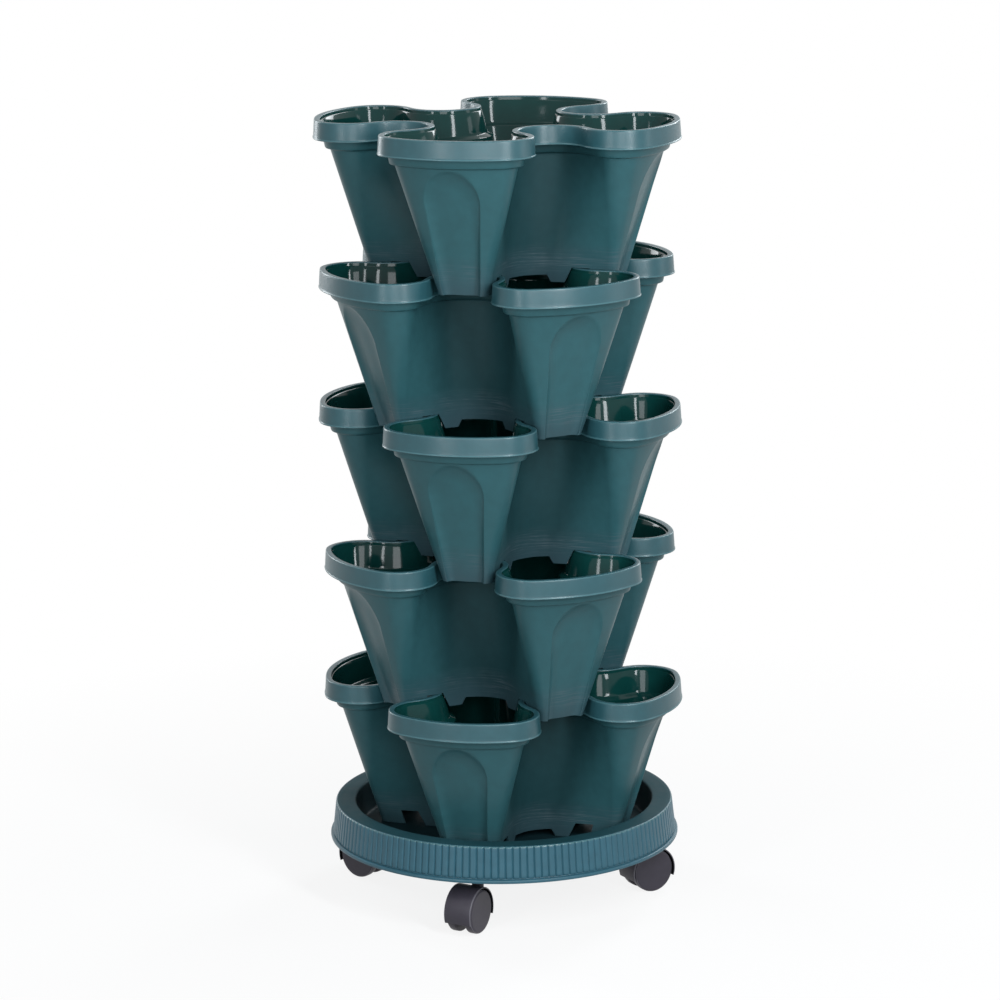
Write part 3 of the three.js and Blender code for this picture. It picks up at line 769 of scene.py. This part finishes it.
def wheel_mesh():
    """A wheel turned about Z, its outer face up: a flat disc with a rounded tread."""
    face = CASTER_WIDTH / 2 - FACE_SET_IN
    back = face - WHEEL_WIDTH
    bore = AXLE_RADIUS + PIN_GAP
    profile = [(0, face - AXLE_COVER), (bore, face - AXLE_COVER)]
    profile += [(bore, back + HUB_BEVEL), (bore + HUB_BEVEL, back)]
    profile += [(WHEEL_RADIUS - from_tread, back + up) for from_tread, up in WHEEL_BACK_EDGE]
    profile += [(WHEEL_RADIUS - from_tread, face - down) for from_tread, down in WHEEL_FACE_EDGE]
    profile += [(radius, face - down) for radius, down in WHEEL_DISH]
    bm = lathe(profile, WHEEL_STEPS)
    # painted highlight: the rounded edge between tread and face takes the lighter slot
    for polygon in bm.faces:
        x, y, z = polygon.calc_center_median() / MM
        polygon.material_index = int(math.hypot(x, y) > WHEEL_HIGHLIGHT_RADIUS and z > face - WHEEL_HIGHLIGHT_DEPTH)
    return finished(bm, "wheel", sharp=30)


def pin_mesh(name, radius, low, high):
    profile = [
        (0, low), (radius - PIN_CHAMFER, low), (radius, low + PIN_CHAMFER), (radius, high - PIN_CHAMFER),
        (radius - PIN_CHAMFER, high), (0, high),
    ]
    return finished(lathe(profile, CASTER_TURN_STEPS), name)


def bush_mesh():
    bore = STEM_RADIUS + PIN_GAP
    profile = [
        (bore, BUSH_FOOT + BUSH_BEVEL), (bore + BUSH_BEVEL, BUSH_FOOT),
        (BUSH_FLANGE_RADIUS - BUSH_FOOT_BEVEL, BUSH_FOOT), (BUSH_FLANGE_RADIUS, BUSH_FOOT + BUSH_BEVEL),
        (BUSH_FLANGE_RADIUS, BUSH_FLANGE_TOP - BUSH_BEVEL),
        (BUSH_FLANGE_RADIUS - BUSH_BEVEL, BUSH_FLANGE_TOP),
        (BUSH_RADIUS, BUSH_FLANGE_TOP), (BUSH_RADIUS, STEM_TOP), (bore, STEM_TOP),
    ]
    return finished(lathe(profile, CASTER_TURN_STEPS, closed=True), "bush")


# Materials
def add(tree, kind, inputs=(), **values):
    """Add a node to a tree, with its inputs linked or set."""
    node = tree.nodes.new(kind)
    for key, value in values.items():
        setattr(node, key, value)
    for key, value in dict(inputs).items():
        if isinstance(value, bpy.types.NodeSocket):
            tree.links.new(value, node.inputs[key])
        else:
            node.inputs[key].default_value = value
    return node


def ramp(tree, value, span, low, high, kind="LINEAR"):
    """A value that goes from low to high as another crosses a span."""
    inputs = {0: value, 1: span[0], 2: span[1], 3: low, 4: high}
    return add(tree, "ShaderNodeMapRange", inputs, interpolation_type=kind).outputs[0]


def worked(tree, operation, a, b):
    return add(tree, "ShaderNodeMath", {0: a, 1: b}, operation=operation).outputs[0]


def scaled(tree, place, by):
    """A place with each of its coordinates scaled on its own."""
    return add(tree, "ShaderNodeVectorMath", {0: place, 1: by}, operation="MULTIPLY").outputs[0]


def noise(tree, place, scale, detail, roughness=0.5):
    inputs = {"Vector": place, "Scale": scale, "Detail": detail, "Roughness": roughness}
    return add(tree, "ShaderNodeTexNoise", inputs).outputs["Fac"]


def blended(tree, share, a, b):
    """A colour between two, by a share."""
    node = add(tree, "ShaderNodeMix", data_type="RGBA")
    for key, value in {"Factor": share, "A": a, "B": b}.items():
        if isinstance(value, bpy.types.NodeSocket):
            tree.links.new(value, node.inputs[key])
        else:
            node.inputs[key].default_value = value
    return node.outputs["Result"]


def painted_valley_shade(tree, place, height):
    """Painted shade: the colour darkened in the valleys between a pot's lobes, where shade falls."""
    flat = scaled(tree, place, (1, 1, 0))
    radius = add(tree, "ShaderNodeVectorMath", {0: flat}, operation="LENGTH").outputs["Value"]
    wall = (0.0, (POT_HEIGHT - WALL_TOP_DEPTH) * MM)
    valley_radii = [(outline["valley_at"] - outline["valley"]) * MM for outline in (FOOT, RIM)]
    tip_radii = [outline["reach"] * MM for outline in (FOOT, WALL_TOP)]
    valley = ramp(tree, height, wall, *valley_radii)
    tip = ramp(tree, height, wall, *tip_radii)
    share = ramp(tree, radius, (valley, tip), 0.0, 1.0)
    return ramp(tree, share, (SHADE_FROM, SHADE_TO), VALLEY_PAINTED_SHADE, 1.0, "SMOOTHSTEP")


def scuffs(tree, place, height):
    """Fine level scuffs low on a pot's wall, where the pots are nested and pulled apart."""
    stretched = scaled(tree, place, SCUFF_STRETCH)
    streaks = noise(tree, stretched, scale=1.0, detail=3.0, roughness=0.6)
    patches = noise(tree, place, scale=38.0, detail=2.0)
    above = ramp(tree, height, SCUFF_RISE, 0.0, 1.0)
    below = ramp(tree, height, SCUFF_FALL, 1.0, 0.0)
    lines = ramp(tree, streaks, SCUFF_LINE_RANGE, 0.0, SCUFF_STRENGTH)
    where = ramp(tree, patches, SCUFF_PATCH_RANGE, SCUFF_LEAST, 1.0)
    band = worked(tree, "MULTIPLY", above, below)
    marks = worked(tree, "MULTIPLY", lines, where)
    return worked(tree, "MULTIPLY", band, marks)


def worn_and_shaded_colour(tree, place, colour):
    """A pot's colour with painted shade in its valleys, and with dust and scuffs. Returns the painted shade
    too.
    """
    height = add(tree, "ShaderNodeSeparateXYZ", {0: place}).outputs["Z"]
    # painted shade: the colour is scaled down in the valleys
    shade = painted_valley_shade(tree, place, height)
    shaded = add(tree, "ShaderNodeVectorMath", {0: colour, "Scale": shade}, operation="SCALE").outputs[0]
    dusty = blended(tree, ramp(tree, height, DUST_FALL, DUST_STRENGTH, 0.0), shaded, DUST)
    return blended(tree, scuffs(tree, place, height), dusty, SCUFF), shade


def moulded(name, colour, roughness, grain=0.03, tint=0.08, specular=0.5, worn_and_shaded=False, metallic=0.0):
    """Moulded plastic or drawn steel: mottled colour, fine pebbled grain and roughness that varies. With
    worn_and_shaded, painted shade darkens a pot's valleys in colour and specular level, and dust and scuffs
    are added.
    """
    material = bpy.data.materials.new(name)
    material.use_nodes = True
    tree = material.node_tree
    shader = tree.nodes["Principled BSDF"]
    place = add(tree, "ShaderNodeTexCoord").outputs["Object"]
    cloud = noise(tree, place, scale=14.0, detail=4.0, roughness=0.6)
    mottle = noise(tree, place, scale=120.0, detail=3.0)
    fine = noise(tree, place, scale=900.0, detail=3.0, roughness=0.6)
    share = worked(tree, "ADD", cloud, mottle)
    dark = [c * (1 - tint) for c in colour] + [1.0]
    light = [min(1.0, c * (1 + tint)) for c in colour] + [1.0]
    mottled = blended(tree, ramp(tree, share, MOTTLE_RANGE, 0.0, 1.0), dark, light)
    shader.inputs["Specular IOR Level"].default_value = specular
    if worn_and_shaded:
        mottled, shade = worn_and_shaded_colour(tree, place, mottled)
        # painted shade on the reflection too: a lower specular level in the valleys
        shaded_specular = ramp(tree, shade, (VALLEY_PAINTED_SHADE, 1.0), VALLEY_SHADED_SPECULAR_SHARE * specular, specular)
        tree.links.new(shaded_specular, shader.inputs["Specular IOR Level"])
    tree.links.new(mottled, shader.inputs["Base Color"])
    smoother, rougher = roughness * (1 - ROUGHNESS_SPREAD), min(1.0, roughness * (1 + ROUGHNESS_SPREAD))
    tree.links.new(ramp(tree, share, MOTTLE_RANGE, smoother, rougher), shader.inputs["Roughness"])
    bump = add(tree, "ShaderNodeBump", {"Strength": grain, "Distance": BUMP_DISTANCE, "Height": fine})
    tree.links.new(bump.outputs["Normal"], shader.inputs["Normal"])
    shader.inputs["Metallic"].default_value = metallic
    return material


# the pots' walls: painted shade in the valleys, with dust and scuffs
POT_MATTE = moulded("pot_matte", (0.025, 0.091, 0.105), 0.40, grain=0.10, specular=0.24, worn_and_shaded=True)
# the pots' insides: a real glossy finish, its colour darkened as painted shade inside the pot
POT_GLOSS_PAINTED_SHADE = moulded("pot_gloss_painted_shade", (0.0035, 0.040, 0.037), 0.09, grain=0.01, specular=0.2)
# painted highlight: a lighter copy of the pots' plastic on rounded edges of the pots and the saucer
POT_EDGE_PAINTED_HIGHLIGHT = moulded("pot_edge_painted_highlight", (0.05, 0.135, 0.155), 0.3, grain=0.05, specular=0.4)
POT_BAND = moulded("pot_band", (0.020, 0.079, 0.096), 0.36, grain=0.10, specular=0.46)
TRAY_MATTE = moulded("tray_matte", (0.030, 0.104, 0.142), 0.38, grain=0.08, specular=0.36)
# painted shade: a darker copy of the saucer's plastic for the basin
TRAY_BASIN_PAINTED_SHADE = moulded("tray_basin_painted_shade", (0.007, 0.022, 0.027), 0.5, grain=0.08, specular=0.08)
# painted shade: a darker copy of the saucer's plastic for the flange's top
TRAY_TOP_PAINTED_SHADE = moulded("tray_top_painted_shade", (0.012, 0.050, 0.062), 0.55, grain=0.08, specular=0.08)
BLACK = moulded("caster_black", (0.040, 0.036, 0.048), 0.45, grain=0.10, specular=0.3)
# painted highlight: a lighter copy of the casters' plastic on the hood's lips and the wheels' rims
BLACK_EDGE_PAINTED_HIGHLIGHT = moulded("caster_edge_painted_highlight", (0.10, 0.095, 0.115), 0.35, grain=0.05, specular=0.4)
# painted shade: a near-black copy of the casters' plastic for the hood's inside
BLACK_INSIDE_PAINTED_SHADE = moulded("caster_inside_painted_shade", (0.006, 0.006, 0.007), 0.6, grain=0.05, specular=0.05)
STEEL = moulded("steel_pin", (0.55, 0.56, 0.57), 0.3, grain=0.03, tint=0.04, metallic=1.0)


# Pieces
def place_piece(name, mesh, body, replaced, materials, matrix):
    """Put a copy of a mesh in the scene. The copy itself is turned, so that its own box is the true one."""
    mesh = mesh.copy()
    mesh.transform(matrix.to_3x3().to_4x4())
    for material in materials:
        mesh.materials.append(material)
    piece = bpy.data.objects.new(name, mesh)
    bpy.context.scene.collection.objects.link(piece)
    piece.matrix_world = Matrix.Translation(matrix.to_translation())
    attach(piece, body)
    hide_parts(*replaced)


def place_pots():
    mesh = pot_mesh()
    for k in range(TIERS):
        stand = Matrix.Translation((0, 0, (STACK_FOOT + k * TIER_PITCH) * MM))
        turn = Matrix.Rotation((k % 2) * math.pi / LOBES, 4, "Z")
        halves = [f"pot_tier_{k + 1}_half_1", f"pot_tier_{k + 1}_half_2"]
        place_piece(f"pot_{k + 1}_shell", mesh, f"pot_{k + 1}", halves,
                    (POT_MATTE, POT_GLOSS_PAINTED_SHADE, POT_EDGE_PAINTED_HIGHLIGHT, POT_BAND), stand @ turn)


def place_casters():
    bush, housing, wheel = bush_mesh(), housing_mesh(), wheel_mesh()
    stem = pin_mesh("stem", STEM_RADIUS, STEM_FOOT, STEM_TOP)
    axle = pin_mesh("axle", AXLE_RADIUS, -AXLE_HALF, AXLE_HALF)
    for k, heading in enumerate(CASTER_HEADINGS):
        n = k + 1
        x, y = stem_place(k)
        stand = Matrix.Translation((x * MM, y * MM, 0))
        swivel = stand @ Matrix.Rotation(math.radians(heading - 90), 4, "Z")
        left, right = swivel @ at_axle(-1), swivel @ at_axle(1)
        place_piece(f"bush_{n}", bush, "saucer", [f"caster_bush_{n}"], (BLACK,), stand)
        place_piece(f"stem_{n}", stem, f"caster_{n}", [f"caster_stem_{n}"], (STEEL,), swivel)
        place_piece(f"housing_{n}", housing, f"caster_{n}", [f"caster_housing_{n}"],
                    (BLACK, BLACK_INSIDE_PAINTED_SHADE, BLACK_EDGE_PAINTED_HIGHLIGHT), swivel)
        place_piece(f"axle_{n}", axle, f"caster_{n}", [f"caster_axle_{n}"], (STEEL,), right)
        place_piece(f"wheel_l_{n}", wheel, f"wheel_left_{n}", [f"wheel_left_{n}"],
                    (BLACK, BLACK_EDGE_PAINTED_HIGHLIGHT), left)
        place_piece(f"wheel_r_{n}", wheel, f"wheel_right_{n}", [f"wheel_right_{n}"],
                    (BLACK, BLACK_EDGE_PAINTED_HIGHLIGHT), right)


# Floor, light and camera
def seen_directly(tree):
    """1 for rays that show a background as it is: from the camera, or by gloss or glass."""
    path = add(tree, "ShaderNodeLightPath").outputs
    both = worked(tree, "MAXIMUM", path["Is Camera Ray"], path["Is Glossy Ray"])
    return worked(tree, "MAXIMUM", both, path["Is Transmission Ray"])


def floor_material():
    """White all over, but near the object the floor's own shading keeps its shadow."""
    material = bpy.data.materials.new("floor_white")
    material.use_nodes = True
    tree = material.node_tree
    tree.nodes.clear()
    out = add(tree, "ShaderNodeOutputMaterial")
    seen = seen_directly(tree)
    tone = ramp(tree, seen, (0.0, 1.0), FLOOR_DARK, FLOOR_PALE)
    colour = add(tree, "ShaderNodeCombineColor", {0: tone, 1: tone, 2: tone}).outputs[0]
    diffuse = add(tree, "ShaderNodeBsdfDiffuse", {"Color": colour}).outputs[0]
    glow = add(tree, "ShaderNodeEmission", {"Color": WHITE, "Strength": 1.0}).outputs[0]
    place = add(tree, "ShaderNodeTexCoord").outputs["Object"]
    away = add(tree, "ShaderNodeVectorMath", {0: place}, operation="LENGTH").outputs["Value"]
    plain = ramp(tree, away, (FLOOR_NEAR, FLOOR_FAR), FLOOR_NEAR_GLOW, 1.0)
    share = worked(tree, "MULTIPLY", seen, plain)
    both = add(tree, "ShaderNodeMixShader", {0: share, 1: diffuse, 2: glow}).outputs[0]
    tree.links.new(both, out.inputs["Surface"])
    return material


def make_floor():
    bm = bmesh.new()
    bmesh.ops.create_grid(bm, x_segments=2, y_segments=2, size=FLOOR_HALF)
    floor = object_of(bm, "floor")
    floor.data.materials.append(floor_material())


def make_world():
    world = bpy.data.worlds.new("studio")
    bpy.context.scene.world = world
    world.use_nodes = True
    tree = world.node_tree
    tree.nodes.clear()
    out = add(tree, "ShaderNodeOutputWorld")
    seen = add(tree, "ShaderNodeBackground", {"Color": WHITE, "Strength": 1.0}).outputs[0]
    fill = add(tree, "ShaderNodeBackground", {"Color": WORLD_FILL_COLOUR, "Strength": WORLD_FILL}).outputs[0]
    both = add(tree, "ShaderNodeMixShader", {0: seen_directly(tree), 1: fill, 2: seen}).outputs[0]
    tree.links.new(both, out.inputs["Surface"])


def make_softbox(name, azimuth, elevation, distance, width, height, power):
    """An area lamp aimed at the stack's middle."""
    data = bpy.data.lights.new(name, "AREA")
    data.shape = "RECTANGLE"
    data.size, data.size_y = width, height
    data.energy = power
    data.color = LAMP_COLOUR
    lamp = bpy.data.objects.new(name, data)
    bpy.context.scene.collection.objects.link(lamp)
    a, e = math.radians(azimuth), math.radians(elevation)
    back = Vector((math.sin(a) * math.cos(e), -math.cos(a) * math.cos(e), math.sin(e)))
    lamp.location = Vector((0, 0, LAMP_AIM)) + back * distance
    lamp.rotation_mode = "QUATERNION"
    lamp.rotation_quaternion = (-back).to_track_quat("-Z", "Y")


def make_camera():
    data = bpy.data.cameras.new("camera")
    data.lens = CAMERA_LENS
    data.sensor_width = CAMERA_SENSOR
    data.shift_x = CAMERA_SHIFT
    camera = bpy.data.objects.new("camera", data)
    bpy.context.scene.collection.objects.link(camera)
    azimuth = math.radians(CAMERA_AZIMUTH)
    where = (CAMERA_DISTANCE * math.sin(azimuth), -CAMERA_DISTANCE * math.cos(azimuth), CAMERA_HEIGHT)
    turn = Matrix.Rotation(azimuth, 4, "Z")
    tilt = Matrix.Rotation(math.radians(90 - CAMERA_PITCH), 4, "X")
    roll = Matrix.Rotation(math.radians(CAMERA_ROLL), 4, "Z")
    camera.matrix_world = Matrix.Translation(where) @ turn @ tilt @ roll
    bpy.context.scene.camera = camera


place_pots()
place_piece("saucer_shell", saucer_mesh(), "saucer", ["tray"],
            (TRAY_MATTE, TRAY_TOP_PAINTED_SHADE, POT_EDGE_PAINTED_HIGHLIGHT, TRAY_BASIN_PAINTED_SHADE), Matrix.Identity(4))
place_casters()
make_floor()
make_world()
for lamp in LAMPS:
    make_softbox(*lamp)
make_camera()

bpy.context.scene.view_settings.view_transform = "Standard"
